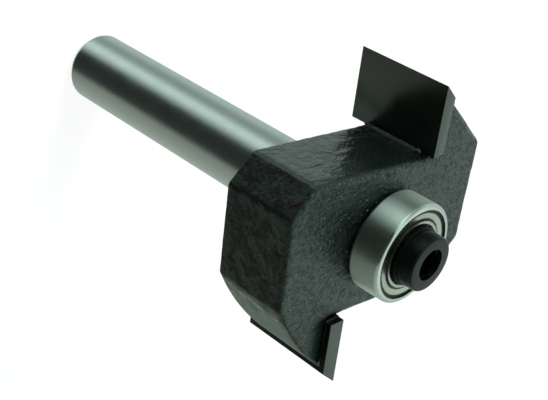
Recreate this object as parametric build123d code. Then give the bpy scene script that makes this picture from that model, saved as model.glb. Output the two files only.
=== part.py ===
from build123d import *
import os
from math import atan2, cos, degrees, radians, sin, sqrt, tan

# Two-flute rebate router bit with a guide bearing on its nose.
# Millimetres. +Z runs along the axis, from the shank's end to the screw on the nose.
# Origin: centre of the shank's end face. Tooth 1 points along +X.
# Seen from the nose the bit turns anticlockwise, so tooth 1's cutting face looks along +Y.

os.makedirs("parts", exist_ok=True)

# ---------------------------------------------------------------- shank
shank_diameter = 9.525
shank_length = 45.1           # from the end face to the back of the head
shank_chamfer = 1.0           # measured along the axis
shank_chamfer_angle = 38.0    # degrees from the axis
neck_radius = 2.4             # fillet where the shank grows out of the head

# ---------------------------------------------------------------- head
head_length = 9.9
head_across_flats = 33.0
gullet_angle = 7.1            # the gullet floor opens outwards by this angle, degrees

# The two halves of the casting differ, because only tooth 2's relief was ground.
# In each of these the key is the tooth.
corner_along_flat = {1: 3.1, 2: 4.7}    # the corner before a tooth is cut off: along the flat
corner_down_gullet = {1: 3.5, 2: 5.2}   # and along Y, down the gullet side
relief_start = {1: 7.7, 2: 3.6}         # the flat ends this far past the centre plane
relief_bulge = {1: 0.05, 2: 0.60}       # how far the relief bows out
heel_step = {1: 0.2, 2: 0.75}           # the wing stops this far short of the tip's heel
corner_radius = 1.0           # cast corners, seen along the axis
front_edge_radius = 0.8       # cast edge round the front face
back_edge_radius = 0.3        # and round the back face
seat_boss_diameter = 6.8      # the bearing's inner ring is clamped against this boss
seat_boss_height = 0.2
boss_overlap = 1.0            # the turned core stops this far inside the head, under the boss

# ---------------------------------------------------------------- carbide tips
cutting_diameter = 38.1
cutting_length = 12.7
face_offset = 5.86            # cutting face behind the centre plane: this sets the hook angle
tip_thickness = 2.1
tip_root = 8.84               # from the axis to the tip's inner edge
tip_overhang = 0.8            # the tip stands this far in front of the head
side_clearance = 26.0         # degrees, behind the cutting edge
end_clearance = 4.0           # degrees, behind the tip's front edge

# ---------------------------------------------------------------- braze
braze_gap = 0.10
braze_fillet = 0.28           # bead along the root of the cutting face
braze_bead_setback = 1.5      # the bead stops this far behind the front face
braze_drop_radius = 0.42      # drop of filler at the front end of the bead

# ---------------------------------------------------------------- guide bearing
bearing_diameter = 12.7
bearing_bore = 4.7625
bearing_width = 4.366
bearing_edge_radius = 0.5     # round the outside of the outer ring
bearing_bore_chamfer = 0.14   # on the edges of the inner ring
ball_diameter = 2.381
ball_count = 7
race_clearance = 0.03         # between a ball and the bottom of each race
race_conformity = 1.04        # radius of a race's groove over the ball's radius
shield_thickness = 0.20
shield_recess = 0.22          # the shield's outer part lies this far inside the ring's face
shield_step = 0.10            # its inner part stands forward again by this much
shield_step_diameter = 8.80
shield_seat_diameter = 10.88
shield_bore_clearance = 0.16
ring_lip_diameter = 11.40     # where the lip over the shield starts on the ring's face
cage_width = 1.12             # of the ribbon, across the pitch circle
cage_thickness = 0.20
cage_clearance = 0.05         # between a ball and its pocket
cage_land_clearance = 0.18    # between the cage and each ring's land

# ---------------------------------------------------------------- washer and screw
washer_diameter = 7.4
washer_thickness = 0.4
shoulder_clearance = 0.02     # radial, in the bearing's bore and in the washer
shoulder_setback = 0.10       # the shoulder stops short of the boss, so the ring is clamped
screw_thread = 4.0
screw_thread_length = 8.0
screw_head_diameter = 6.9
screw_head_height = 2.05
screw_head_chamfer = 0.25
screw_end_chamfer = 0.5
socket_across_flats = 3.175   # for a 1/8 in key
socket_depth = 1.5
socket_mouth_chamfer = 0.12   # eases the middles of the six flats
socket_point_angle = 120.0    # of the drilled cone under the socket
thread_clearance = 0.02
tapped_hole_depth = 10.5
drill_point_angle = 118.0

# ---------------------------------------------------------------- places that follow
shank_radius = shank_diameter / 2
head_back = shank_length
head_front = head_back + head_length
tip_front = head_front + tip_overhang
tip_back = tip_front - cutting_length
edge_x = sqrt((cutting_diameter / 2) ** 2 - face_offset**2)
hook_angle = degrees(atan2(face_offset, edge_x))
face_y = -face_offset
tip_back_y = face_y - tip_thickness
heel_x = edge_x - tip_thickness * tan(radians(hook_angle + side_clearance))
wing_x = {tooth: heel_x - step for tooth, step in heel_step.items()}
seat_y = tip_back_y - braze_gap
flat_y = head_across_flats / 2
bearing_back = head_front + seat_boss_height
bearing_front = bearing_back + bearing_width
bearing_middle = bearing_back + bearing_width / 2
washer_front = bearing_front + washer_thickness
screw_top = washer_front + screw_head_height
ball_radius = ball_diameter / 2
pitch_radius = (bearing_diameter + bearing_bore) / 4
race_radius = ball_radius * race_conformity
land_offset = cage_width / 2 + cage_land_clearance
inner_land_radius = pitch_radius - land_offset
outer_land_radius = pitch_radius + land_offset
shoulder_diameter = bearing_bore - 2 * shoulder_clearance
socket_flat_radius = socket_across_flats / 2


def gullet_x(y):
    """Where the gullet floor stands at height y; it runs straight down to the tip's seat."""
    return tip_root - braze_gap + (y - face_y) * tan(radians(gullet_angle))


def for_tooth(shape, tooth):
    """Tooth 2 is tooth 1 given half a turn about the axis."""
    return shape if tooth == 1 else Rot(0, 0, 180) * shape


def turned(*profile):
    """Solid of revolution about the axis from (radius, z) points."""
    return revolve(Plane.XZ * make_face(Polyline(*profile, close=True)), Axis.Z)


def prism(z_start, z_end, *outline):
    """Straight prism along the axis from an (x, y) outline."""
    face = make_face(Polyline(*outline, close=True))
    return extrude(Plane.XY.offset(z_start) * face, z_end - z_start)


# ---------------------------------------------------------------- body: shank and head in one piece
def half_outline(tooth):
    """Half of the head's outline, from this tooth's seat round to the other tooth's seat."""
    other_tooth = 3 - tooth
    gullet_top = flat_y - corner_down_gullet[tooth]
    gullet_end = (gullet_x(gullet_top), gullet_top)
    flat_start = (gullet_end[0] - corner_along_flat[tooth], flat_y)
    flat_end = (-relief_start[other_tooth], flat_y)
    heel = (-wing_x[other_tooth], -seat_y)
    chord = Vector(*heel) - Vector(*flat_end)
    bow = Vector(chord.Y, -chord.X).normalized() * relief_bulge[other_tooth]
    crown = (Vector(*flat_end) + Vector(*heel)) / 2 + bow
    lines = [
        Line((gullet_x(seat_y), seat_y), gullet_end),
        Line(gullet_end, flat_start),
        Line(flat_start, flat_end),
        ThreePointArc(flat_end, crown, heel),
        Line(heel, (-gullet_x(seat_y), -seat_y)),
    ]
    return [for_tooth(line, tooth) for line in lines]


def is_rim(edge, height):
    """True for an edge at this height that isn't an edge of a tip's seat."""
    at_height = abs((edge @ 0).Z - height) < 0.01 and abs((edge @ 1).Z - height) < 0.01
    beside_seat = abs(abs((edge @ 0.5).Y) - abs(seat_y)) < 0.01
    return at_height and not beside_seat


def make_head():
    outline = make_face(Wire(half_outline(1) + half_outline(2)))
    head = extrude(Plane.XY.offset(head_back) * outline, head_length)
    corners = [
        edge
        for edge in head.edges().filter_by(Axis.Z)
        if abs((edge @ 0.5).Y) > -seat_y + 1
    ]
    head = fillet(corners, corner_radius)
    back_rim = [edge for edge in head.edges() if is_rim(edge, head_back)]
    head = fillet(back_rim, back_edge_radius)
    front_rim = [edge for edge in head.edges() if is_rim(edge, head_front)]
    return fillet(front_rim, front_edge_radius)


def make_shank():
    """Shank with its end chamfer and the fillet into the head, and the bearing's boss."""
    end_radius = shank_radius - shank_chamfer * tan(radians(shank_chamfer_angle))
    neck_start = (shank_radius, head_back - neck_radius)
    neck_end = (shank_radius + neck_radius, head_back)
    neck_middle = (
        shank_radius + neck_radius * (1 - cos(radians(45))),
        head_back - neck_radius * (1 - sin(radians(45))),
    )
    boss_radius = seat_boss_diameter / 2
    boss_top = head_front + seat_boss_height
    boss_root = head_front - boss_overlap
    profile = Polyline(neck_end, (neck_end[0], boss_root), (boss_radius, boss_root))
    profile += Polyline((boss_radius, boss_root), (boss_radius, boss_top), (0, boss_top), (0, 0))
    profile += Polyline((0, 0), (end_radius, 0), (shank_radius, shank_chamfer), neck_start)
    profile += ThreePointArc(neck_start, neck_middle, neck_end)
    return revolve(Plane.XZ * make_face(profile), Axis.Z)


def make_tapped_hole():
    radius = screw_thread / 2 + thread_clearance
    mouth = head_front + seat_boss_height
    floor = mouth - tapped_hole_depth
    point = floor - radius / tan(radians(drill_point_angle / 2))
    return turned((0, point), (radius, floor), (radius, mouth + 1), (0, mouth + 1))


def make_body():
    return make_head() + make_shank() - make_tapped_hole()


# ---------------------------------------------------------------- carbide tips and their braze
def make_tip(tooth):
    """Carbide plate with a sharp cutting edge, side clearance and end clearance."""
    plate = prism(
        tip_back,
        tip_front,
        (tip_root, face_y),
        (edge_x, face_y),
        (heel_x, tip_back_y),
        (tip_root, tip_back_y),
    )
    drop = tip_thickness * tan(radians(end_clearance))
    wedge = Polyline(
        (face_y, tip_front), (tip_back_y, tip_front), (tip_back_y, tip_front - drop), close=True
    )
    plate -= extrude(Plane.YZ * make_face(wedge), cutting_diameter)
    return for_tooth(plate, tooth)


def make_braze(tooth, body, tip):
    """Filler under and behind the tip, and a bead along the root of its face."""
    layer = prism(
        head_back,
        head_front,
        (gullet_x(seat_y), seat_y),
        (wing_x[tooth], seat_y),
        (wing_x[tooth], tip_back_y),
        (tip_root, tip_back_y),
        (tip_root, face_y),
        (gullet_x(face_y), face_y),
    )
    bead_end = head_front - braze_bead_setback
    bead = prism(
        head_back + back_edge_radius,
        bead_end,
        (gullet_x(face_y), face_y),
        (tip_root + braze_fillet, face_y),
        (gullet_x(face_y + braze_fillet), face_y + braze_fillet),
    )
    drop = Pos(tip_root, face_y, bead_end) * Sphere(braze_drop_radius)
    return for_tooth(layer + bead + drop, tooth) - body - tip


# ---------------------------------------------------------------- guide bearing
def ring_section(*profile):
    return Plane.XZ * make_face(Polyline(*profile, close=True))


def race_circle(groove_centre):
    return Plane.XZ * (Pos(groove_centre, bearing_middle) * Circle(race_radius))


def make_outer_ring():
    outer = bearing_diameter / 2
    seat = shield_seat_diameter / 2
    land = outer_land_radius
    lip = ring_lip_diameter / 2
    seat_depth = shield_recess + shield_thickness
    back, front = bearing_back, bearing_front
    section = ring_section(
        (outer, back),
        (outer, front),
        (lip, front),
        (seat, front - shield_recess),
        (seat, front - seat_depth),
        (land, front - seat_depth),
        (land, back + seat_depth),
        (seat, back + seat_depth),
        (seat, back + shield_recess),
        (lip, back),
    )
    groove_centre = pitch_radius + ball_radius + race_clearance - race_radius
    ring = revolve(section - race_circle(groove_centre), Axis.Z)
    circles = ring.edges().filter_by(GeomType.CIRCLE)
    outside = [edge for edge in circles if abs(edge.radius - outer) < 0.01]
    return fillet(outside, bearing_edge_radius)


def make_inner_ring():
    bore = bearing_bore / 2
    land = inner_land_radius
    chamfer = bearing_bore_chamfer
    back, front = bearing_back, bearing_front
    section = ring_section(
        (bore + chamfer, back),
        (land - chamfer, back),
        (land, back + chamfer),
        (land, front - chamfer),
        (land - chamfer, front),
        (bore + chamfer, front),
        (bore, front - chamfer),
        (bore, back + chamfer),
    )
    groove_centre = pitch_radius - ball_radius - race_clearance + race_radius
    return revolve(section - race_circle(groove_centre), Axis.Z)


def make_shield(side):
    """Pressed shield in the outer ring's mouth; side is +1 at the front and -1 at the back."""
    outer = shield_seat_diameter / 2
    step = shield_step_diameter / 2
    bore = inner_land_radius + shield_bore_clearance
    half = bearing_width / 2
    low = half - shield_recess
    high = low + shield_step
    corners = [
        (outer, low),
        (step + shield_step, low),
        (step, high),
        (bore, high),
        (bore, high - shield_thickness),
        (step, high - shield_thickness),
        (step + shield_step, low - shield_thickness),
        (outer, low - shield_thickness),
    ]
    return turned(*[(radius, bearing_middle + side * height) for radius, height in corners])


def ball_places():
    """The balls stand at even angles on the pitch circle, the first one towards +X."""
    return PolarLocations(pitch_radius, ball_count)


def make_balls():
    centre = Pos(0, 0, bearing_middle)
    return [centre * place * Sphere(ball_radius) for place in ball_places()]


def make_cage_half(side):
    """Pressed ribbon: a flat ring with a domed pocket over each ball."""
    inner = pitch_radius - cage_width / 2
    outer = pitch_radius + cage_width / 2
    pocket = ball_radius + cage_clearance
    dome = pocket + cage_thickness
    annulus = Circle(outer) - Circle(inner)
    domes = Part() + [place * Sphere(dome) for place in ball_places()]
    pockets = Part() + [place * Sphere(pocket) for place in ball_places()]
    half = extrude(annulus, cage_thickness) + (extrude(annulus, dome) & domes) - pockets
    half = half if side > 0 else half.mirror(Plane.XY)
    return Pos(0, 0, bearing_middle) * half


# ---------------------------------------------------------------- washer and screw
def make_washer():
    bore = bearing_bore / 2
    outer = washer_diameter / 2
    return turned(
        (bore, bearing_front), (outer, bearing_front), (outer, washer_front), (bore, washer_front)
    )


def make_screw():
    """Low-head socket screw with a plain shoulder that carries the bearing."""
    head = screw_head_diameter / 2
    shoulder = shoulder_diameter / 2
    thread = screw_thread / 2
    shoulder_end = bearing_back + shoulder_setback
    thread_end = shoulder_end - screw_thread_length
    screw = turned(
        (0, thread_end),
        (thread - screw_end_chamfer, thread_end),
        (thread, thread_end + screw_end_chamfer),
        (thread, shoulder_end),
        (shoulder, shoulder_end),
        (shoulder, washer_front),
        (head, washer_front),
        (head, screw_top - screw_head_chamfer),
        (head - screw_head_chamfer, screw_top),
        (0, screw_top),
    )
    return screw - make_socket()


def make_socket():
    """Hexagon socket with eased flats at its mouth and a drilled cone at its floor."""
    floor = screw_top - socket_depth
    hexagon = RegularPolygon(socket_flat_radius, 6, major_radius=False)
    socket = extrude(Plane.XY.offset(floor) * hexagon, socket_depth)
    cone_depth = socket_flat_radius / tan(radians(socket_point_angle / 2))
    socket += turned((0, floor - cone_depth), (socket_flat_radius, floor), (0, floor))
    mouth = socket_flat_radius + socket_mouth_chamfer
    return socket + turned((0, screw_top), (mouth, screw_top), (0, screw_top - mouth))


# ---------------------------------------------------------------- build and write
def build_parts():
    body = make_body()
    parts = {"bit_body": body}
    for tooth in (1, 2):
        tip = make_tip(tooth)
        parts[f"carbide_tip_{tooth}"] = tip
        parts[f"braze_joint_{tooth}"] = make_braze(tooth, body, tip)
    parts["bearing_outer_ring"] = make_outer_ring()
    parts["bearing_inner_ring"] = make_inner_ring()
    parts["bearing_shield_front"] = make_shield(+1)
    parts["bearing_shield_rear"] = make_shield(-1)
    parts["bearing_cage_front"] = make_cage_half(+1)
    parts["bearing_cage_rear"] = make_cage_half(-1)
    for number, ball in enumerate(make_balls(), start=1):
        parts[f"bearing_ball_{number}"] = ball
    parts["bearing_washer"] = make_washer()
    parts["cap_screw"] = make_screw()
    return parts


if __name__ == "__main__":
    for name, part in build_parts().items():
        part.label = name
        export_step(part, f"parts/{name}.step")
        print(f"{name}: {part.volume:.2f} cubic mm")
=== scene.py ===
# %% [markdown]
# # Rebate router bit
#
# The part is a cast and ground steel body with two brazed carbide tips, and a ball
# bearing that a socket screw holds on its nose. The CAD model gives every shape its
# size and place, in metres, with +Z along the bit's axis. This script keeps that
# frame and adds what the CAD model leaves out: the rough cast skin of the head, the
# grinding marks on the steel, the finishes, the light and the camera.

# %% Load the CAD frame
import math

import bmesh
import bpy
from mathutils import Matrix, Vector, noise


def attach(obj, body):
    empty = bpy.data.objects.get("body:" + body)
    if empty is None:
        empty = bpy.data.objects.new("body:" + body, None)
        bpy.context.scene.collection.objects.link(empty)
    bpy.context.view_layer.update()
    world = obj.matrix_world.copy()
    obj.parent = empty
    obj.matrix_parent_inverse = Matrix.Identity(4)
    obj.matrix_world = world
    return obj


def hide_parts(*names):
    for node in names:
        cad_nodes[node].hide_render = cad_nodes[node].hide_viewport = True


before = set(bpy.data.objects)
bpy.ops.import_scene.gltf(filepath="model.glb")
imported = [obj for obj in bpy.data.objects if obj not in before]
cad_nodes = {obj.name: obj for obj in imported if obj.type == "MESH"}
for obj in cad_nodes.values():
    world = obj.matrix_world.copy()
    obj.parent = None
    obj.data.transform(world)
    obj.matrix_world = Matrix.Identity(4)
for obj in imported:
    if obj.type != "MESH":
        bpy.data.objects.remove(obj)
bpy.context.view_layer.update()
MM = 0.001


# %% [markdown]
# ## Camera
#
# A short telephoto lens looks down on the bit from the side of the bearing, and the
# camera is rolled, so that the bit lies across the image with its shank towards the
# upper left. The lens is written as a focal length in pixels of an image that is 548
# pixels wide, because that says how large the bit is drawn in the finished render.

# %% Place the camera
IMAGE_WIDTH = 548
FOCAL_PIXELS = 1117.8
SENSOR_WIDTH = 36.0
CAMERA_AT = (68.80, 90.60, 117.97)
CAMERA_TURNS = (-37.22, -44.34, -81.35)
CLIP_NEAR = 5
CLIP_FAR = 5000

scene = bpy.context.scene
scene.view_settings.view_transform = "Standard"
camera_data = bpy.data.cameras.new("camera")
camera_data.sensor_width = SENSOR_WIDTH
camera_data.lens = SENSOR_WIDTH * FOCAL_PIXELS / IMAGE_WIDTH
camera_data.clip_start = CLIP_NEAR * MM
camera_data.clip_end = CLIP_FAR * MM
camera = bpy.data.objects.new("camera", camera_data)
camera.location = Vector(CAMERA_AT) * MM
camera.rotation_euler = [math.radians(turn) for turn in CAMERA_TURNS]
scene.collection.objects.link(camera)
scene.camera = camera
print("lens", round(camera_data.lens, 2), "mm")

# %% [markdown]
# ## Small helpers for node trees
#
# Every finish below is a node tree. These helpers add a node with its settings, and
# connect or fill its inputs in one line, so that a tree reads like a recipe.

# %% Node helpers
def add(tree, kind, inputs=None, **settings):
    """Adds a node, sets its settings, and connects or fills its inputs."""
    new = tree.nodes.new(kind)
    for key, value in settings.items():
        setattr(new, key, value)
    for key, value in (inputs or {}).items():
        socket = new.inputs[key]
        if isinstance(value, bpy.types.NodeSocket):
            tree.links.new(value, socket)
        else:
            socket.default_value = value
    return new


def math_node(tree, operation, first, second=0.0, third=0.0):
    """One Math node; returns its output."""
    inputs = {0: first, 1: second, 2: third}
    return add(tree, "ShaderNodeMath", inputs, operation=operation).outputs[0]


def product(tree, first, *others):
    """Multiplies two or more values; returns the output."""
    for other in others:
        first = math_node(tree, "MULTIPLY", first, other)
    return first


def size_of(tree, value):
    """A value without its sign."""
    return math_node(tree, "ABSOLUTE", value)


def ramp_between(tree, value, low, high):
    """0 below low, 1 above high, with a soft step in between."""
    inputs = {"Value": value, "From Min": low, "From Max": high, "To Min": 0.0, "To Max": 1.0}
    return add(tree, "ShaderNodeMapRange", inputs, interpolation_type="SMOOTHSTEP").outputs[0]


def mix_colors(tree, factor, first, second):
    """Mixes two colours; returns the output."""
    inputs = {0: factor, 6: first, 7: second}
    return add(tree, "ShaderNodeMix", inputs, data_type="RGBA").outputs[2]


def mix_numbers(tree, factor, first, second):
    """Mixes two numbers; returns the output."""
    inputs = {"Value": factor, "From Min": 0.0, "From Max": 1.0, "To Min": first, "To Max": second}
    return add(tree, "ShaderNodeMapRange", inputs).outputs[0]


print("node helpers ready")

# %% [markdown]
# Patterns are placed by Object coordinates, which move with a piece when its joint
# turns. They are turned into millimetres first, so that every size below is a real one.

# %% Place helpers
def split(tree, vector):
    """The three parts of a vector."""
    return add(tree, "ShaderNodeSeparateXYZ", {0: vector}).outputs


def place_in_mm(tree):
    """Object coordinates, turned from metres into millimetres."""
    place = add(tree, "ShaderNodeTexCoord").outputs["Object"]
    inputs = {"Vector": place, "Scale": (1 / MM, 1 / MM, 1 / MM)}
    return add(tree, "ShaderNodeMapping", inputs).outputs[0]


def axis_distance(tree, place):
    """How far a place is from the bit's axis."""
    xyz = split(tree, place)
    flat = add(tree, "ShaderNodeCombineXYZ", {0: xyz[0], 1: xyz[1]}).outputs[0]
    return add(tree, "ShaderNodeVectorMath", {0: flat}, operation="LENGTH").outputs["Value"]


def face_direction(tree):
    """The three parts of the direction that a face looks in."""
    return split(tree, add(tree, "ShaderNodeNewGeometry").outputs["Normal"])


def cloud(tree, place, scale, **settings):
    """One Noise Texture node; returns its value."""
    inputs = {"Vector": place, "Scale": scale}
    inputs.update({label.capitalize(): value for label, value in settings.items()})
    return add(tree, "ShaderNodeTexNoise", inputs).outputs[0]


print("place helpers ready")

# %% [markdown]
# ## Studio
#
# Polished steel is a mirror, so what surrounds it matters more than its own colour.
# A small part like this is shot in front of a white sweep, with the dark room and the
# camera on the near side. The world node tree paints those surroundings round the
# bit's axis: pale behind, one brighter window above, dark on the camera's side. A
# broad soft window stands higher up, where the faces that look along the axis mirror
# it. The plain light that fills matt surfaces is an even pale grey.

# %% World: a pale sweep with a dark room on the camera's side
STUDIO_STOPS = (
    # degrees round the axis from +X, brightness, tint
    (-180, 0.60, "olive"),
    (-128, 0.70, "cool"),
    (-66, 0.78, "cool"),
    (-42, 0.40, "cool"),
    (-22, 0.54, "cool"),
    (-7, 1.25, "cool"),
    (9, 1.20, "cool"),
    (24, 0.52, "cool"),
    (31, 0.30, "cool"),
    (35, 0.035, "cool"),
    (104, 0.035, "cool"),
    (114, 0.38, "olive"),
    (150, 0.50, "olive"),
    (180, 0.60, "olive"),
)
TINTS = {"cool": (0.84, 1.0, 0.96), "olive": (0.90, 1.0, 0.88)}
HALF_TURN = 180
FULL_TURN = 360

world = bpy.data.worlds.new("studio")
scene.world = world
world.use_nodes = True
tree = world.node_tree
tree.nodes.clear()
direction = add(tree, "ShaderNodeTexCoord").outputs["Generated"]
parts = split(tree, direction)
turn = math_node(tree, "ARCTAN2", parts[1], parts[0])
share = math_node(tree, "MULTIPLY_ADD", turn, 0.5 / math.pi, 0.5)
studio = add(tree, "ShaderNodeValToRGB", {0: share})
stops = studio.color_ramp.elements
while len(stops) < len(STUDIO_STOPS):
    stops.new(0.5)
for stop, (degrees, level, tint) in zip(stops, STUDIO_STOPS):
    stop.position = (degrees + HALF_TURN) / FULL_TURN
    stop.color = [level * channel for channel in TINTS[tint]] + [1]
print("studio stops:", len(stops))

# %% World: the high window and what each kind of ray sees
WINDOW_TOWARDS = (-0.30, -0.38, 0.875)
WINDOW_EDGE = 0.70
WINDOW_MIDDLE = 1.0
WINDOW_GLOW = (1.02, 1.20, 1.12, 1)
PLAIN_FILL = (0.50, 0.62, 0.57, 1)
WHITE = (1, 1, 1, 1)

inputs = {0: direction, 1: WINDOW_TOWARDS}
towards = add(tree, "ShaderNodeVectorMath", inputs, operation="DOT_PRODUCT").outputs["Value"]
window_share = ramp_between(tree, towards, WINDOW_EDGE, WINDOW_MIDDLE)
with_window = mix_colors(tree, window_share, studio.outputs[0], WINDOW_GLOW)
path = add(tree, "ShaderNodeLightPath").outputs
plain = mix_colors(tree, path["Is Camera Ray"], PLAIN_FILL, WHITE)
mirrored = math_node(tree, "MAXIMUM", path["Is Glossy Ray"], path["Is Transmission Ray"])
seen = mix_colors(tree, mirrored, plain, with_window)
background = add(tree, "ShaderNodeBackground", {"Color": seen, "Strength": 1.0})
add(tree, "ShaderNodeOutputWorld", {"Surface": background.outputs[0]})
print("world nodes:", len(tree.nodes))

# %% [markdown]
# The floor is the pale table that the bit stands on, at the height of its shank's
# end. It shows white to the camera and keeps a soft shadow where the bit stands.

# %% Floor
FLOOR_RADIUS = 3000
FLOOR_SIDES = 96
FLOOR_GREY = (0.80, 0.80, 0.80, 1)
WHITE_SHARE = 0.86

floor_mesh = bpy.data.meshes.new("floor")
bm = bmesh.new()
bmesh.ops.create_circle(bm, cap_ends=True, radius=FLOOR_RADIUS * MM, segments=FLOOR_SIDES)
bm.to_mesh(floor_mesh)
bm.free()
floor = bpy.data.objects.new("floor", floor_mesh)
scene.collection.objects.link(floor)
floor.visible_glossy = False

sweep = bpy.data.materials.new("white_sweep")
sweep.use_nodes = True
tree = sweep.node_tree
tree.nodes.clear()
path = add(tree, "ShaderNodeLightPath").outputs
matt = add(tree, "ShaderNodeBsdfDiffuse", {"Color": FLOOR_GREY})
lit = add(tree, "ShaderNodeEmission", {"Color": WHITE, "Strength": 1.0})
white = product(tree, path["Is Camera Ray"], WHITE_SHARE)
surface = add(tree, "ShaderNodeMixShader", {0: white, 1: matt.outputs[0], 2: lit.outputs[0]})
add(tree, "ShaderNodeOutputMaterial", {"Surface": surface.outputs[0]})
floor_mesh.materials.append(sweep)
print("floor white share", WHITE_SHARE)

# %% [markdown]
# Two large soft boxes give the matt surfaces their shape. They don't show in the
# steel, because the world already holds what the steel mirrors.

# %% Soft boxes
HEAD_MIDDLE = 45


def soft_box(name, at, size, watts):
    """A square area light at a place in millimetres, aimed at the head."""
    data = bpy.data.lights.new(name, "AREA")
    data.shape = "SQUARE"
    data.size = size * MM
    data.energy = watts
    box = bpy.data.objects.new(name, data)
    box.location = Vector(at) * MM
    aim = Vector((0, 0, HEAD_MIDDLE)) * MM - box.location
    box.rotation_euler = aim.to_track_quat("-Z", "Y").to_euler()
    box.visible_glossy = False
    scene.collection.objects.link(box)
    return box


soft_box("key_box", at=(420, -160, 330), size=320, watts=5.0)
soft_box("fill_box", at=(-60, 420, 360), size=380, watts=2.2)
print("lights:", len(bpy.data.lights))

# %% [markdown]
# ## Shared effects
#
# Three effects are node groups that are built once, so that each finish can place them
# with its own values. The first draws the fine lines that a lathe or a grinding wheel
# leaves round the axis: noise that changes fast along the axis and along the radius,
# and hardly at all round the bit.

# %% Group: lines left by turning and grinding
DRIFT_SCALE = 0.35
SMUDGE_SCALE = 0.5


def new_group(name, inputs, outputs):
    """An empty shader group with its sockets; returns it with its inputs."""
    group = bpy.data.node_groups.new(name, "ShaderNodeTree")
    for label, default in inputs:
        socket = group.interface.new_socket(label, in_out="INPUT", socket_type="NodeSocketFloat")
        socket.default_value = default
    for label in outputs:
        group.interface.new_socket(label, in_out="OUTPUT", socket_type="NodeSocketFloat")
    return group, add(group, "NodeGroupInput").outputs


ground_lines, inputs = new_group(
    "ground_lines", [("Lines per mm", 6.0), ("Breaks", 0.35)], ["Lines", "Smudge"]
)
place = place_in_mm(ground_lines)
drift = cloud(ground_lines, place, DRIFT_SCALE, detail=2.0)
shift = product(ground_lines, drift, inputs["Breaks"])
across = math_node(ground_lines, "ADD", axis_distance(ground_lines, place), shift)
along = math_node(ground_lines, "ADD", split(ground_lines, place)[2], shift)
track = add(ground_lines, "ShaderNodeCombineXYZ", {0: across, 1: along}).outputs[0]
lines = cloud(ground_lines, track, inputs["Lines per mm"], detail=4.0, roughness=0.7)
smudge = cloud(ground_lines, place, SMUDGE_SCALE, detail=4.0, roughness=0.6)
add(ground_lines, "NodeGroupOutput", {"Lines": lines, "Smudge": smudge})
print("group", ground_lines.name, [item.name for item in ground_lines.interface.items_tree])

# %% [markdown]
# The second effect is the skin of a sand casting under black paint: grains about half
# a millimetre across, longer folds where the metal flowed, and small bright points
# that are painted glints, put into the colour where the paint would catch the light.

# %% Group: painted cast skin and painted glints
FOLD_TURNS = (0.5, 0.6, 0.4)
FOLD_STRETCH = (1.0, 0.42, 1.0)
GLINT_REACH = (0.42, 0.12)
GLINT_PATCHES = (0.50, 0.66)

cast_skin, inputs = new_group(
    "cast_skin", [("Grain size", 0.35), ("Fold size", 1.6)], ["Grain", "Folds", "Points"]
)
place = place_in_mm(cast_skin)
fineness = math_node(cast_skin, "DIVIDE", 1.0, inputs["Grain size"])
grain = cloud(cast_skin, place, fineness, detail=5.0, roughness=0.62)
slanted = {"Vector": place, "Rotation": FOLD_TURNS, "Scale": FOLD_STRETCH}
slant = add(cast_skin, "ShaderNodeMapping", slanted).outputs[0]
coarseness = math_node(cast_skin, "DIVIDE", 1.0, inputs["Fold size"])
folds = cloud(cast_skin, slant, coarseness, detail=3.0, roughness=0.55, distortion=0.6)
# Painted highlights: small bright points where the paint would catch the light.
cell_inputs = {"Vector": place, "Scale": fineness, "Randomness": 1.0}
cells = add(cast_skin, "ShaderNodeTexVoronoi", cell_inputs).outputs["Distance"]
near = ramp_between(cast_skin, cells, *GLINT_REACH)
patchy = ramp_between(cast_skin, grain, *GLINT_PATCHES)
points = product(cast_skin, near, patchy)
add(cast_skin, "NodeGroupOutput", {"Grain": grain, "Folds": folds, "Points": points})
print("group", cast_skin.name)

# %% [markdown]
# The third effect is painted shade in the grooves and the middle of the bearing's face.
# It only needs the distance from the axis, because the grooves are round. A little
# noise is added to that distance, so that the edge of the shade isn't a perfect circle.

# %% Group: painted shade in the bearing's grooves
# Rings of painted shade: the middle of the face and two grooves.
SHADED_BANDS = (
    # inner radius, outer radius, in millimetres
    (0.0, 3.92),
    (4.24, 4.52),
    (5.22, 5.68),
)
SPOT_SCALE = 2.2
RAGGED = 0.12

shaded_grooves, inputs = new_group("shaded_grooves", [("Softness", 0.07)], ["Shade"])
place = place_in_mm(shaded_grooves)
radius = axis_distance(shaded_grooves, place)
spots = cloud(shaded_grooves, place, SPOT_SCALE, detail=2.0)
ragged = math_node(shaded_grooves, "MULTIPLY_ADD", spots, RAGGED, radius)
ragged = math_node(shaded_grooves, "SUBTRACT", ragged, RAGGED / 2)
groove_shade = None
for low, high in SHADED_BANDS:
    middle, half = (low + high) / 2, (high - low) / 2
    off = size_of(shaded_grooves, math_node(shaded_grooves, "SUBTRACT", ragged, middle))
    inside = math_node(shaded_grooves, "SUBTRACT", half, off)
    share = math_node(shaded_grooves, "DIVIDE", inside, inputs["Softness"])
    share = math_node(shaded_grooves, "ADD", share, 0.5)
    share = add(shaded_grooves, "ShaderNodeClamp", {0: share}).outputs[0]
    groove_shade = share if groove_shade is None else math_node(shaded_grooves, "MAXIMUM", groove_shade, share)
add(shaded_grooves, "NodeGroupOutput", {"Shade": groove_shade})
print("group", shaded_grooves.name, "bands", len(SHADED_BANDS))

# %% [markdown]
# ## Finishes
#
# Each finish is one material with a Principled BSDF. What changes over the surface
# comes from the groups, and what is the same all over is set on the shader itself.

# %% Helper: a material with its shader
def new_finish(name):
    """A material with an empty tree, its shader and its output."""
    material = bpy.data.materials.new(name)
    material.use_nodes = True
    tree = material.node_tree
    tree.nodes.clear()
    shader = add(tree, "ShaderNodeBsdfPrincipled")
    add(tree, "ShaderNodeOutputMaterial", {"Surface": shader.outputs[0]})
    return material, tree, shader


def feed(tree, shader, label, value):
    """Connects a changing value to the shader, or sets a plain one."""
    if isinstance(value, bpy.types.NodeSocket):
        tree.links.new(value, shader.inputs[label])
    else:
        shader.inputs[label].default_value = value


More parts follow.
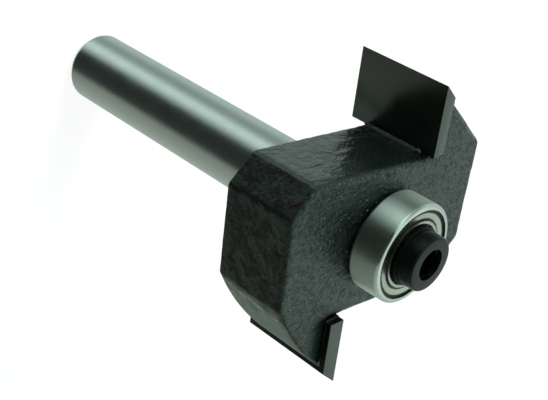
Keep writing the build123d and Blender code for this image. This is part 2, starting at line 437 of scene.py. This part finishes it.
def use_group(tree, group, **values):
    """Places a shared group in a material with its own values."""
    new = add(tree, "ShaderNodeGroup", node_tree=group)
    for label, value in values.items():
        new.inputs[label.replace("_", " ")].default_value = value
    return new.outputs


def bump(tree, height, strength, depth_mm):
    """A Bump node; depth is the height of the relief in millimetres."""
    inputs = {"Height": height, "Strength": strength, "Distance": depth_mm * MM}
    return add(tree, "ShaderNodeBump", inputs).outputs[0]


def scaled(color, factor):
    """A colour made lighter or darker, with its opacity of 1."""
    return [channel * factor for channel in color] + [1]


print("finish helpers ready")

# %% [markdown]
# **Ground steel.** The shank is centreless ground, and the bearing's rings are ground
# finer and polished. One function makes both: the lines get shallower and the surface
# smoother for the bearing. Fine lines round a cylinder stretch its reflections along
# the axis, which the shader's anisotropy does without any geometry.

# %% Ground and polished steel
# The colour of the painted shade in the bearing's grooves, and their roughness
GROOVE_SHADE_BLACK = (0.012, 0.014, 0.012, 1)
GROOVE_ROUGHNESS = 0.45
SMOOTHER, ROUGHER = 0.75, 1.35
TURNS_TO_FACE = (0.10, 0.40)
LINE_STRENGTH = 0.6
ALONG_AXIS = 0.25


def steel_finish(
    name, color, roughness, lines_per_mm, depth_mm, streak, spread=0.0, groove_shade=0.0, face_polish=1.0
):
    """Bare steel with lines round the axis; streak is how much they change its tone,
    spread how far they stretch a reflection along the axis, groove_shade how dark the
    painted shade in a bearing's grooves is, and face_polish the share of the roughness
    that is left on the end faces and on the rounding that leads to them."""
    material, tree, shader = new_finish(name)
    marks = use_group(tree, ground_lines, Lines_per_mm=lines_per_mm)
    dark, light = scaled(color, 1 - streak), scaled(color, 1 + streak)
    tone = mix_colors(tree, marks["Lines"], dark, light)
    rough = mix_numbers(tree, marks["Smudge"], roughness * SMOOTHER, roughness * ROUGHER)
    if face_polish < 1:
        up = size_of(tree, face_direction(tree)[2])
        kept = mix_numbers(tree, ramp_between(tree, up, *TURNS_TO_FACE), 1.0, face_polish)
        rough = product(tree, rough, kept)
    # Painted shade: the bearing's grooves and middle are darkened, where shade falls.
    if groove_shade:
        shaded = product(tree, use_group(tree, shaded_grooves)["Shade"], groove_shade)
        tone = mix_colors(tree, shaded, tone, GROOVE_SHADE_BLACK)
        rough = mix_numbers(tree, shaded, rough, GROOVE_ROUGHNESS)
    feed(tree, shader, "Base Color", tone)
    feed(tree, shader, "Metallic", 1.0)
    feed(tree, shader, "Roughness", rough)
    feed(tree, shader, "Anisotropic", spread)
    feed(tree, shader, "Anisotropic Rotation", ALONG_AXIS)
    around = add(tree, "ShaderNodeTangent", direction_type="RADIAL", axis="Z").outputs[0]
    feed(tree, shader, "Tangent", around)
    feed(tree, shader, "Normal", bump(tree, marks["Lines"], LINE_STRENGTH, depth_mm))
    return material


shank_steel = steel_finish(
    "ground_shank_steel",
    color=(0.48, 0.53, 0.51),
    roughness=0.29,
    lines_per_mm=5.0,
    depth_mm=0.003,
    streak=0.10,
    spread=0.4,
)
ring_steel = steel_finish(
    "polished_ring_steel",
    color=(0.53, 0.60, 0.545),
    roughness=0.45,
    lines_per_mm=9.0,
    depth_mm=0.001,
    streak=0.06,
    spread=0.95,
    groove_shade=1.0,
    face_polish=0.45,
)
shield_steel = steel_finish(
    "pressed_shield_steel",
    color=(0.42, 0.43, 0.36),
    roughness=0.22,
    lines_per_mm=6.0,
    depth_mm=0.001,
    streak=0.06,
    groove_shade=0.95,
)
cage_steel = steel_finish(
    "pressed_cage_steel",
    color=(0.58, 0.59, 0.57),
    roughness=0.25,
    lines_per_mm=6.0,
    depth_mm=0.001,
    streak=0.06,
)
ball_steel = steel_finish(
    "polished_ball_steel",
    color=(0.66, 0.67, 0.66),
    roughness=0.06,
    lines_per_mm=9.0,
    depth_mm=0.0002,
    streak=0.02,
)
print("steels ready")

# %% [markdown]
# ** Carbide.** The tips are ground on the faces that cut, which leaves a dark grey
# metal with a satin shine. Their backs are taken to be unground, so they are matt, and
# their near black is painted shade. A mask on the distance from the middle plane tells
# the two apart.

# %% Cemented carbide
CARBIDE_TONES = ((0.078, 0.086, 0.077, 1), (0.100, 0.109, 0.096, 1))
CARBIDE_ROUGHNESS = (0.24, 0.36)
CARBIDE_GRAIN_SCALE = 9.0
CARBIDE_TONE_SCALE = 0.5
TIP_BACK = (7.86, 7.92)
UNGROUND_AND_SHADED_BLACK = (0.012, 0.014, 0.012, 1)
UNGROUND_ROUGHNESS = 0.55


def carbide_finish():
    """Ground carbide with unground, matt backs painted nearly black as shade."""
    material, tree, shader = new_finish("ground_carbide")
    place = place_in_mm(tree)
    fine = cloud(tree, place, CARBIDE_GRAIN_SCALE, detail=3.0)
    tones = cloud(tree, place, CARBIDE_TONE_SCALE, detail=3.0)
    # Painted shade: the tips' backs are made nearly black, as well as matt.
    unground_and_shaded = ramp_between(tree, size_of(tree, split(tree, place)[1]), *TIP_BACK)
    base = mix_colors(tree, tones, *CARBIDE_TONES)
    feed(tree, shader, "Base Color", mix_colors(tree, unground_and_shaded, base, UNGROUND_AND_SHADED_BLACK))
    feed(tree, shader, "Metallic", 1.0)
    ground = mix_numbers(tree, tones, *CARBIDE_ROUGHNESS)
    feed(tree, shader, "Roughness", mix_numbers(tree, unground_and_shaded, ground, UNGROUND_ROUGHNESS))
    feed(tree, shader, "Normal", bump(tree, fine, 0.5, 0.002))
    return material


carbide = carbide_finish()
print("carbide ready")

# %% [markdown]
# **Braze.** The silver filler that holds a tip runs out in a lumpy bead with dark and
# bright places, so one noise drives its colour, its roughness and its bumps together.

# %% Silver braze
BRAZE_TONES = ((0.015, 0.02, 0.018, 1), (0.22, 0.24, 0.21, 1))
BRAZE_ROUGHNESS = (0.55, 0.28)
BRAZE_LUMP_SCALE = 3.0


def braze_finish():
    """Silver filler with dark and bright lumps."""
    material, tree, shader = new_finish("silver_braze")
    lumps = cloud(tree, place_in_mm(tree), BRAZE_LUMP_SCALE, detail=4.0)
    feed(tree, shader, "Base Color", mix_colors(tree, lumps, *BRAZE_TONES))
    feed(tree, shader, "Metallic", 1.0)
    feed(tree, shader, "Roughness", mix_numbers(tree, lumps, *BRAZE_ROUGHNESS))
    feed(tree, shader, "Normal", bump(tree, lumps, 0.8, 0.08))
    return material


braze = braze_finish()
print("braze ready")

# %% [markdown]
# ** Black oxide.** The screw and the washer are blackened steel, a thin oily coat that
# still shines. Metallic between 0 and 1 is used only to dim that shine. Inside the
# socket it dims more, as painted shade, where little light gets in.

# %% Black oxide
OXIDE_LINES_PER_MM = 4.0
OXIDE_LIGHTER = 1.5
OXIDE_SMOOTHER, OXIDE_ROUGHER = 0.8, 1.3
OXIDE_DIMMING_AND_SOCKET_SHADE = (0.68, 0.95)
SOCKET_EDGE = (2.06, 1.96)
OXIDE_IOR = 1.45


def black_oxide(name, color, roughness):
    """Blackened steel with a soft shine, dimmed inside the socket as painted shade."""
    material, tree, shader = new_finish(name)
    smudge = use_group(tree, ground_lines, Lines_per_mm=OXIDE_LINES_PER_MM)["Smudge"]
    tone = mix_colors(tree, smudge, scaled(color, 1), scaled(color, OXIDE_LIGHTER))
    feed(tree, shader, "Base Color", tone)
    # Painted shade: the shine is dimmed more inside the socket, where little light gets in.
    socket_shade = ramp_between(tree, axis_distance(tree, place_in_mm(tree)), *SOCKET_EDGE)
    feed(tree, shader, "Metallic", mix_numbers(tree, socket_shade, *OXIDE_DIMMING_AND_SOCKET_SHADE))
    rough = mix_numbers(tree, smudge, roughness * OXIDE_SMOOTHER, roughness * OXIDE_ROUGHER)
    feed(tree, shader, "Roughness", rough)
    feed(tree, shader, "IOR", OXIDE_IOR)
    feed(tree, shader, "Normal", bump(tree, smudge, 0.4, 0.02))
    return material


screw_black = black_oxide("black_oxide_screw", color=(0.002, 0.004, 0.004), roughness=0.30)
washer_black = black_oxide("black_oxide_washer", color=(0.002, 0.002, 0.002), roughness=0.45)
print("black oxide ready")

# %% [markdown]
# **Painted casting.** The head is black gloss paint over rough iron, with two reliefs
# and the neck ground bare. Separate materials would need the mesh split along ragged
# edges, so one material holds both, and masks made from the place and from the way a
# face looks choose between them. The masks come first.

# %% Masks of the painted casting
CAST_GRAIN_SIZE = 0.46
CAST_FOLD_SIZE = 1.7
RAGGED_EDGE = 1.6
RELIEF_BEHIND_SEAT = (8.0, 8.2)
RELIEF_PAST_FLAT = (3.8, 5.6)
RELIEF_LEAN = 0.15
SIDE_FACES = (0.55, 0.35)
NECK_EDGE = (41.75, 41.60)
NECK_WAVE = 2.2
FRONT_FACES = (0.5, 0.9)
OUTSIDE_FACES = (0.45, 0.60)


def casting_marks(tree):
    """What the masks read: the skin's noises, the place and the way a face looks."""
    skin = use_group(tree, cast_skin, Grain_size=CAST_GRAIN_SIZE, Fold_size=CAST_FOLD_SIZE)
    xyz = split(tree, place_in_mm(tree))
    looks = face_direction(tree)
    return {
        "grain": skin["Grain"],
        "folds": skin["Folds"],
        # points holds the painted glints
        "points": skin["Points"],
        "x": xyz[0],
        "y": xyz[1],
        "z": xyz[2],
        "out_x": size_of(tree, xyz[0]),
        "out_y": size_of(tree, xyz[1]),
        "looks_x": size_of(tree, looks[0]),
        "looks_y": size_of(tree, looks[1]),
        "looks_up": size_of(tree, looks[2]),
    }


def bare_metal(tree, marks, ragged_x):
    """1 on the two ground reliefs and on the neck, 0 on the paint."""
    on_wing = math_node(tree, "LESS_THAN", product(tree, marks["x"], marks["y"]), 0.0)
    behind_seat = ramp_between(tree, marks["out_y"], *RELIEF_BEHIND_SEAT)
    lean = math_node(tree, "MULTIPLY_ADD", marks["z"], -RELIEF_LEAN, HEAD_MIDDLE * RELIEF_LEAN)
    past_flat = ramp_between(tree, math_node(tree, "ADD", ragged_x, lean), *RELIEF_PAST_FLAT)
    on_side = ramp_between(tree, marks["looks_up"], *SIDE_FACES)
    relief = product(tree, on_wing, past_flat, on_side, behind_seat)
    wavy_z = math_node(tree, "MULTIPLY_ADD", marks["folds"], -NECK_WAVE, marks["z"])
    neck = ramp_between(tree, wavy_z, *NECK_EDGE)
    return math_node(tree, "MAXIMUM", relief, neck)


print("casting masks ready")

# %% [markdown]
# The bare metal is ground but stained, and gets darker towards the tip. The paint is
# almost black, with pale points on the front that are painted glints, and brown on the
# outer flats that is painted warm light. Beside the second tip the paint is darker still.

# %% Colours of the painted casting
METAL_TONES = ((0.24, 0.23, 0.20, 1), (0.07, 0.07, 0.06, 1))
NEAR_TIP = (7.0, 12.5)
STAIN_BROWN = (0.11, 0.09, 0.075, 1)
STAIN_FOLDS = (0.42, 0.60)
STAIN_STRENGTH = 0.7
PAINT_TONES = ((0.001, 0.003, 0.0025, 1), (0.004, 0.007, 0.006, 1))
GLINT_GREEN = (0.100, 0.150, 0.130, 1)
GLINTS_OFF_FRONT = 0.05
# Brown of the painted warm light on the outer flats, patchy along the folds
WARM_LIGHT_BROWN = (0.014, 0.011, 0.009, 1)
WARM_LIGHT_FOLDS = (0.38, 0.66)
PATCH_BLACK = (0.001, 0.002, 0.003, 1)
PATCH_REACH = (12.6, 9.2)
PATCH_FROM_AXIS = (7.2, 8.2)
PATCH_FROM_MIDDLE = (5.2, 6.4)


def metal_color(tree, marks, ragged_x):
    """Ground metal, darker by the tip and stained along the folds."""
    near_tip = ramp_between(tree, ragged_x, *NEAR_TIP)
    ground = mix_colors(tree, near_tip, *METAL_TONES)
    stained = product(tree, ramp_between(tree, marks["folds"], *STAIN_FOLDS), STAIN_STRENGTH)
    return mix_colors(tree, stained, ground, STAIN_BROWN)


def darker_patch(tree, marks, on_front):
    """1 on the front beside the second tip, fading away from it."""
    ragged_y = math_node(tree, "ADD", marks["grain"], marks["out_y"])
    beside = ramp_between(tree, ragged_y, *PATCH_REACH)
    along_seat = ramp_between(tree, marks["out_x"], *PATCH_FROM_AXIS)
    second_side = math_node(tree, "LESS_THAN", marks["x"], 0.0)
    off_middle = ramp_between(tree, marks["y"], *PATCH_FROM_MIDDLE)
    return product(tree, beside, along_seat, second_side, off_middle, on_front)


def paint_color(tree, marks, on_front, outside, patch):
    """Black paint with painted glints, painted warm light on the outer flats and the darker patch.
    """
    paint = mix_colors(tree, marks["folds"], *PAINT_TONES)
    # Painted glints: pale points, mostly on the front, put into the colour as highlights.
    points = product(tree, marks["points"], mix_numbers(tree, on_front, GLINTS_OFF_FRONT, 1.0))
    paint = mix_colors(tree, points, paint, GLINT_GREEN)
    # Painted warm light: the outer flats are browner where light falls on them, patchy along the
    # folds.
    warm_light = product(tree, outside, ramp_between(tree, marks["folds"], *WARM_LIGHT_FOLDS))
    paint = mix_colors(tree, warm_light, paint, WARM_LIGHT_BROWN)
    return mix_colors(tree, patch, paint, PATCH_BLACK)


print("casting colours ready")

# %% [markdown]
# Dust and wear also make the paint less shiny in blotches, and Metallic between 0 and 1
# dims its shine there, as it does on the screw. On the outer flats the dimmed shine is
# painted shade. The bumps follow the grain and the folds, and stop where the metal is bare.

# %% Painted casting with ground reliefs
BLOTCH_GRAIN = (0.42, 0.60)
FRONT_DULLING = (0.0, 0.45)
FOLD_WEIGHT = 2.0
SWEPT_EDGE = (1.25, 1.75)
OUTSIDE_SHADE_DULLING = (0.35, 0.78)
PATCH_DULLING = 0.93
GLOSSY_ROUGHNESS = (0.16, 0.34)
OUTSIDE_ROUGHNESS = 0.40
METAL_ROUGHNESS = 0.33
PAINT_IOR = 1.75
PAINT_SHINE_TINT = (0.52, 0.63, 0.59, 1)
GULLET_FACES = (0.75, 0.90)
GRAIN_OUTSIDE = 0.45
GRAIN_LOST_IN_GULLET = 0.5
CAST_BUMP_STRENGTH = 1.0
CAST_BUMP_DEPTH = 0.14


def dimming(tree, marks, on_front, outside, patch):
    """How much the paint's shine is dimmed: outside as painted shade, in blotches and on the
    patch.
    """
    swept = math_node(tree, "MULTIPLY_ADD", marks["folds"], FOLD_WEIGHT, marks["grain"])
    swept = ramp_between(tree, swept, *SWEPT_EDGE)
    # Painted shade: the outer flats always have their shine dimmed.
    dull = product(tree, outside, mix_numbers(tree, swept, *OUTSIDE_SHADE_DULLING))
    blotches = ramp_between(tree, marks["grain"], *BLOTCH_GRAIN)
    blotches = product(tree, on_front, mix_numbers(tree, blotches, *FRONT_DULLING))
    dull = math_node(tree, "MAXIMUM", dull, blotches)
    return math_node(tree, "MAXIMUM", dull, product(tree, patch, PATCH_DULLING))


def cast_height(tree, marks, outside, bare):
    """Height of the skin under the paint: grain and folds, none on bare metal."""
    cover = math_node(tree, "SUBTRACT", 1.0, bare)
    in_gullet = ramp_between(tree, marks["looks_x"], *GULLET_FACES)
    kept = mix_numbers(tree, outside, 1.0, GRAIN_OUTSIDE)
    lost = product(tree, in_gullet, GRAIN_LOST_IN_GULLET)
    grain_share = math_node(tree, "SUBTRACT", kept, lost)
    fine = product(tree, marks["grain"], product(tree, cover, grain_share))
    broad = product(tree, marks["folds"], cover)
    return math_node(tree, "MULTIPLY_ADD", broad, FOLD_WEIGHT, fine)


def casting_finish():
    """Black gloss paint on a rough casting, with bare ground metal."""
    material, tree, shader = new_finish("painted_casting")
    marks = casting_marks(tree)
    wander = math_node(tree, "MULTIPLY_ADD", marks["grain"], RAGGED_EDGE, -RAGGED_EDGE / 2)
    ragged_x = math_node(tree, "ADD", marks["out_x"], wander)
    on_front = ramp_between(tree, marks["looks_up"], *FRONT_FACES)
    outside = ramp_between(tree, marks["looks_y"], *OUTSIDE_FACES)
    bare = bare_metal(tree, marks, ragged_x)
    patch = darker_patch(tree, marks, on_front)

    paint = paint_color(tree, marks, on_front, outside, patch)
    metal = metal_color(tree, marks, ragged_x)
    feed(tree, shader, "Base Color", mix_colors(tree, bare, paint, metal))
    dimmed = dimming(tree, marks, on_front, outside, patch)
    feed(tree, shader, "Metallic", math_node(tree, "MAXIMUM", bare, dimmed))
    glossy = mix_numbers(tree, marks["grain"], *GLOSSY_ROUGHNESS)
    painted = mix_numbers(tree, outside, glossy, OUTSIDE_ROUGHNESS)
    feed(tree, shader, "Roughness", mix_numbers(tree, bare, painted, METAL_ROUGHNESS))
    feed(tree, shader, "IOR", PAINT_IOR)
    feed(tree, shader, "Specular Tint", PAINT_SHINE_TINT)
    height = cast_height(tree, marks, outside, bare)
    feed(tree, shader, "Normal", bump(tree, height, CAST_BUMP_STRENGTH, CAST_BUMP_DEPTH))
    return material


casting_paint = casting_finish()
print("casting ready")

# %% [markdown]
# ## Dress the CAD nodes
#
# The bearing's inner ring, cages and balls are shut in behind the shields, so the CAD
# shapes do for them. The braze keeps its CAD shape too. These only get a finish.

# %% Assign finishes to the CAD nodes that keep their shape
FINISHES = {
    "braze_joint": braze,
    "bearing_inner_ring": ring_steel,
    "bearing_cage": cage_steel,
    "bearing_ball": ball_steel,
}
for name, node in cad_nodes.items():
    for start, finish in FINISHES.items():
        if name.startswith(start):
            for slot in node.material_slots:
                slot.material = finish
            print(name, "->", finish.name)

# %% [markdown]
# ## Turned pieces
#
# Almost everything on the axis was made on a lathe, and Blender's spin operator is
# a lathe: it sweeps half a cross-section round the axis. The corners are rounded
# after the sweep with the bevel operator, which is what an edge tool would do.

# %% Helper: spin a cross-section into a solid
TURN_STEPS = 160
SHARP_TURN = math.radians(30)
MERGE_REACH = 0.0005
SAME_PLACE = 0.001
ROUND_SHAPE = 0.5
KEEP_MATERIAL = -1


def finish_piece(bm, name, finish, body, replaced):
    """Writes a bmesh to a new object with its finish, body and replaced node."""
    mesh = bpy.data.meshes.new(name)
    bm.to_mesh(mesh)
    bm.free()
    mesh.shade_smooth()
    mesh.set_sharp_from_angle(angle=SHARP_TURN)
    mesh.materials.append(finish)
    piece = bpy.data.objects.new(name, mesh)
    scene.collection.objects.link(piece)
    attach(piece, body)
    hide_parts(replaced)
    return piece


def in_section(vertex):
    """A point's distance from the axis and height, in millimetres."""
    return Vector((vertex.co.xy.length, vertex.co.z)) / MM


def spin_profile(points, rounds=(), closed=False):
    """Spins (radius, height) points, in millimetres, round the axis.

    Each entry of rounds is a point's number, the radius of its rounding and the
    count of segments in it.
    """
    bm = bmesh.new()
    line = [bm.verts.new((radius * MM, 0, height * MM)) for radius, height in points]
    for first, second in zip(line, line[1:] + line[:1] if closed else line[1:]):
        bm.edges.new((first, second))
    bmesh.ops.spin(
        bm,
        geom=bm.verts[:] + bm.edges[:],
        cent=(0, 0, 0),
        axis=(0, 0, 1),
        angle=2 * math.pi,
        steps=TURN_STEPS,
        use_merge=True,
    )
    bmesh.ops.remove_doubles(bm, verts=bm.verts, dist=MERGE_REACH * MM)
    bmesh.ops.recalc_face_normals(bm, faces=bm.faces)
    for number, size, segments in rounds:
        at = Vector(points[number])
        loop = [
            edge
            for edge in bm.edges
            if all((in_section(vertex) - at).length < SAME_PLACE for vertex in edge.verts)
        ]
        bmesh.ops.bevel(
            bm,
            geom=loop,
            offset=size * MM,
            affect="EDGES",
            segments=segments,
            profile=ROUND_SHAPE,
            material=KEEP_MATERIAL,
        )
    return bm


print("a full turn has", TURN_STEPS, "steps")

# %% [markdown]
# **Shank.** A plain ground cylinder with a chamfer that leads it into the collet.
# Points set close to a rounded corner hold the straight part's shading straight.

# %% Shank
SHANK_RADIUS = 4.7625
SHANK_END_RADIUS = 3.98
SHANK_CHAMFER = 1.0
SHANK_HOLD = 0.25
NECK_START = 42.5

bm = spin_profile(
    [
        (0, 0),
        (SHANK_END_RADIUS, 0),
        (SHANK_RADIUS, SHANK_CHAMFER),
        (SHANK_RADIUS, SHANK_CHAMFER + SHANK_HOLD),
        (SHANK_RADIUS, NECK_START),
        (0, NECK_START),
    ],
    rounds=[(1, 0.10, 3), (2, 0.16, 4)],
)
shank = finish_piece(bm, "ground_shank", shank_steel, "bit", "bit_body")
print("shank faces", len(shank.data.polygons))

# %% [markdown]
# **Outer ring.** Its outside corners are rounded half a millimetre, which draws the
# bright line round its face. Inside are the lip and seat of each shield and the
# groove that the balls run in.

# %% Outer ring
BEARING_BACK = 55.2
BEARING_FRONT = 59.566
MIDDLE = (BEARING_BACK + BEARING_FRONT) / 2
RING_RADIUS = 6.35
RING_FACE = 2.183
RING_ROUND = 0.5
RING_HOLD = 0.06
SHIELD_SEAT_RADIUS = 5.44
SHIELD_BACK = 1.763
# Distance from the axis, distance from the ring's middle plane
half_ring = [
    (5.586, 0.0),
    (5.520, 0.40),
    (5.355, 0.72),
    (5.106, 0.979),
    (5.106, SHIELD_BACK),
    (SHIELD_SEAT_RADIUS, SHIELD_BACK),
    (SHIELD_SEAT_RADIUS, 1.96),
    (5.70, RING_FACE),
    (RING_RADIUS, RING_FACE),
    (RING_RADIUS, RING_FACE - RING_ROUND - RING_HOLD),
]
front_half = [(radius, MIDDLE + height) for radius, height in half_ring]
back_half = [(radius, MIDDLE - height) for radius, height in half_ring[:0:-1]]
bm = spin_profile(
    front_half + back_half,
    rounds=[(8, RING_ROUND, 8), (11, RING_ROUND, 8), (7, 0.05, 2)],
    closed=True,
)
ring = finish_piece(
    bm, "outer_ring", ring_steel, "outer_race", "bearing_outer_ring"
)
print("outer ring faces", len(ring.data.polygons))

# %% [markdown]
# **Shields.** Thin pressed discs. The press leaves a sunk groove between the flat
# outer part and the raised inner part.

# %% Shields
SHIELD_SECTION = [
    # distance from the axis, distance from the ring's middle plane
    (SHIELD_SEAT_RADIUS, 1.963),
    (4.60, 1.963),
    (4.52, 1.90),
    (4.40, 1.90),
    (4.32, 2.063),
    (3.786, 2.063),
    (3.786, 1.863),
    (4.30, 1.863),
    (4.44, SHIELD_BACK),
    (SHIELD_SEAT_RADIUS, SHIELD_BACK),
]
SHIELD_ROUNDS = [(1, 0.04, 2), (4, 0.05, 2), (5, 0.08, 3)]
for side, place in ((1, "front"), (-1, "rear")):
    section = [(radius, MIDDLE + side * height) for radius, height in SHIELD_SECTION]
    bm = spin_profile(section, rounds=SHIELD_ROUNDS, closed=True)
    name = f"bearing_shield_{place}"
    shield = finish_piece(
        bm, f"pressed_shield_{place}", shield_steel, "outer_race", name
    )
    print(shield.name, "faces", len(shield.data.polygons))

# %% [markdown]
# **Washer.** A blackened disc between the screw's head and the inner ring.

# %% Washer
WASHER_FRONT = BEARING_FRONT + 0.4
WASHER_HOLE = 2.39
WASHER_RADIUS = 3.7
bm = spin_profile(
    [
        (WASHER_HOLE, BEARING_FRONT),
        (WASHER_RADIUS, BEARING_FRONT),
        (WASHER_RADIUS, WASHER_FRONT),
        (WASHER_HOLE, WASHER_FRONT),
    ],
    rounds=[(2, 0.10, 3), (1, 0.05, 2)],
    closed=True,
)
washer = finish_piece(bm, "black_washer", washer_black, "bit", "bearing_washer")
print("washer faces", len(washer.data.polygons))

# %% [markdown]
# **Screw.** The outside is turned like the rest. The hexagon socket is cut with the
# Boolean modifier, first by a six-sided prism and then by a cone that eases the
# mouth. The edges that the cut leaves stay sharp.

# %% Screw blank
SCREW_TOP = WASHER_FRONT + 2.05
SCREW_END = 47.3
SCREW_END_RADIUS = 1.5
SCREW_LEAD = 0.5
THREAD_RADIUS = 2.0
SHOULDER_START = 55.3
SHOULDER_RADIUS = 2.361
SCREW_HEAD_RADIUS = 3.45
SCREW_HOLD = 0.36
bm = spin_profile(
    [
        (0, SCREW_END),
        (SCREW_END_RADIUS, SCREW_END),
        (THREAD_RADIUS, SCREW_END + SCREW_LEAD),
        (THREAD_RADIUS, SHOULDER_START),
        (SHOULDER_RADIUS, SHOULDER_START),
        (SHOULDER_RADIUS, WASHER_FRONT),
        (SCREW_HEAD_RADIUS, WASHER_FRONT),
        (SCREW_HEAD_RADIUS, SCREW_TOP - SCREW_HOLD),
        (SCREW_HEAD_RADIUS, SCREW_TOP),
        (0, SCREW_TOP),
    ],
    rounds=[(8, 0.30, 5)],
)
screw = finish_piece(bm, "socket_screw", screw_black, "bit", "cap_screw")
print("screw blank faces", len(screw.data.polygons))


# %% Cut the socket
def cut_with(piece, bm, name):
    """Cuts a bmesh shape out of a piece and keeps the result as its mesh."""
    mesh = bpy.data.meshes.new(name)
    bm.to_mesh(mesh)
    bm.free()
    cutter = bpy.data.objects.new(name, mesh)
    scene.collection.objects.link(cutter)
    cut = piece.modifiers.new(name, "BOOLEAN")
    cut.operation = "DIFFERENCE"
    cut.solver = "EXACT"
    cut.object = cutter
    view = bpy.context.evaluated_depsgraph_get()
    result = bpy.data.meshes.new_from_object(piece.evaluated_get(view))
    piece.modifiers.clear()
    piece.data = result
    bpy.data.objects.remove(cutter)


def cutting_cone(sides, low_radius, high_radius, depth, middle):
    """A cone on the axis as a bmesh, all in millimetres."""
    bm = bmesh.new()
    bmesh.ops.create_cone(
        bm,
        cap_ends=True,
        segments=sides,
        radius1=low_radius * MM,
        radius2=high_radius * MM,
        depth=depth * MM,
    )
    bmesh.ops.translate(bm, verts=bm.verts, vec=(0, 0, middle * MM))
    return bm


ACROSS_FLATS = 3.175
HEX_CORNER_RADIUS = ACROSS_FLATS / math.sqrt(3)
HEX_DEPTH = 2
SOCKET_FLOOR = SCREW_TOP - 1.5
MOUTH_RADII = (1.80, 2.14)
MOUTH_DEPTH = 1
MOUTH_SIDES = 96
hexagon = cutting_cone(
    6, HEX_CORNER_RADIUS, HEX_CORNER_RADIUS, HEX_DEPTH, SOCKET_FLOOR + HEX_DEPTH / 2
)
cut_with(screw, hexagon, "hexagon")
mouth = cutting_cone(MOUTH_SIDES, *MOUTH_RADII, MOUTH_DEPTH, SCREW_TOP)
cut_with(screw, mouth, "mouth")
screw.data.shade_smooth()
screw.data.set_sharp_from_angle(angle=SHARP_TURN)
print("screw faces", len(screw.data.polygons))

# %% [markdown]
# ## Carbide tips
#
# The tips are flat ground plates, so their CAD shape is the right one. A copy of each
# is merged, its flat faces are joined, and its edges are broken by a few hundredths,
# so that they catch the light as ground carbide does.

# %% Carbide tips
TIP_EDGE = 0.04
SAME_PLANE = math.radians(1)
for tooth in (1, 2):
    name = f"carbide_tip_{tooth}"
    bm = bmesh.new()
    bm.from_mesh(cad_nodes[name].data)
    bmesh.ops.remove_doubles(bm, verts=bm.verts, dist=MERGE_REACH * MM)
    bmesh.ops.dissolve_limit(bm, angle_limit=SAME_PLANE, verts=bm.verts, edges=bm.edges)
    bmesh.ops.bevel(
        bm,
        geom=bm.edges[:],
        offset=TIP_EDGE * MM,
        affect="EDGES",
        segments=2,
        profile=ROUND_SHAPE,
        material=KEEP_MATERIAL,
    )
    tip = finish_piece(bm, f"ground_tip_{tooth}", carbide, "bit", name)
    print(tip.name, "faces", len(tip.data.polygons))

# %% [markdown]
# ## Head casting
#
# The head is a rough casting under paint, so it is the one piece that mustn't look
# machined. A copy of its CAD shape is merged and cut off above the ground part of
# the shank, then rebuilt from small cells with the Remesh modifier, which rounds
# every edge as sand does. The skin is then pushed in here and there by noise. Places
# that were machined after casting stay true: the tips' seats, the boss, the ground
# reliefs and the neck.

# %% Rebuild the head from small cells
VOXEL = 0.20


def cast_head():
    """The head's part of the body, rebuilt as an even skin of small faces."""
    bm = bmesh.new()
    bm.from_mesh(cad_nodes["bit_body"].data)
    bmesh.ops.remove_doubles(bm, verts=bm.verts, dist=MERGE_REACH * MM)
    cut = bmesh.ops.bisect_plane(
        bm,
        geom=bm.verts[:] + bm.edges[:] + bm.faces[:],
        plane_co=(0, 0, NECK_START * MM),
        plane_no=(0, 0, 1),
        clear_inner=True,
    )
    rim = [item for item in cut["geom_cut"] if isinstance(item, bmesh.types.BMEdge)]
    bmesh.ops.holes_fill(bm, edges=rim)
    mesh = bpy.data.meshes.new("rough_head")
    bm.to_mesh(mesh)
    bm.free()
    rough = bpy.data.objects.new("rough_head", mesh)
    scene.collection.objects.link(rough)
    remesh = rough.modifiers.new("skin", "REMESH")
    remesh.mode = "VOXEL"
    remesh.voxel_size = VOXEL * MM
    view = bpy.context.evaluated_depsgraph_get()
    skin = bpy.data.meshes.new_from_object(rough.evaluated_get(view))
    bpy.data.objects.remove(rough)
    return skin


head_mesh = cast_head()
print("head faces", len(head_mesh.polygons))


# %% Roughen the cast skin
LUMP_SIZE = 1.5
LUMP_DEPTH = 0.07
GRAIN_SIZE = 0.55
GRAIN_DEPTH = 0.035
SMOOTHING = 0.5
SEAT_MIDDLE = 7.0
SEAT_REACH = (1.3, 2.0)
SEAT_START = 7.5
BOSS_HEIGHT = 54
BOSS_REACH = (3.6, 4.0)
NECK_REACH = (44.9, 45.4)
NECK_RADIUS = 7.5
RELIEF_REACH = (4.0, 3.4)
RELIEF_START = 7.9


def soft_step(value, low, high):
    """0 below low, 1 above high, smooth between."""
    share = min(max((value - low) / (high - low), 0.0), 1.0)
    return share * share * (3 - 2 * share)


def cast_share(place):
    """How rough the skin is at a place in millimetres: 0 where it was machined."""
    x, y, z = place
    spread = math.hypot(x, y)
    along = x if y < 0 else -x
    from_seat = abs(abs(y) - SEAT_MIDDLE)
    behind_tip = abs(y) > RELIEF_START and x * y < 0
    by_seat = soft_step(from_seat, *SEAT_REACH) if along > SEAT_START else 1.0
    on_boss = soft_step(spread, *BOSS_REACH) if z > BOSS_HEIGHT else 1.0
    on_neck = soft_step(z, *NECK_REACH) if spread < NECK_RADIUS else 1.0
    on_relief = soft_step(abs(x), *RELIEF_REACH) if behind_tip else 1.0
    return by_seat * on_boss * on_neck * on_relief


bm = bmesh.new()
bm.from_mesh(head_mesh)
bmesh.ops.smooth_vert(
    bm, verts=bm.verts, factor=SMOOTHING, use_axis_x=True, use_axis_y=True, use_axis_z=True
)
bm.normal_update()
for vertex in bm.verts:
    place = vertex.co / MM
    share = cast_share(place)
    lump = 0.5 + 0.5 * noise.noise(place / LUMP_SIZE)
    grain = 0.5 + 0.5 * noise.noise(place / GRAIN_SIZE)
    depth = share * (LUMP_DEPTH * lump + GRAIN_DEPTH * grain)
    vertex.co -= vertex.normal * depth * MM
head = finish_piece(bm, "head_casting", casting_paint, "bit", "bit_body")
print("head casting faces", len(head.data.polygons))
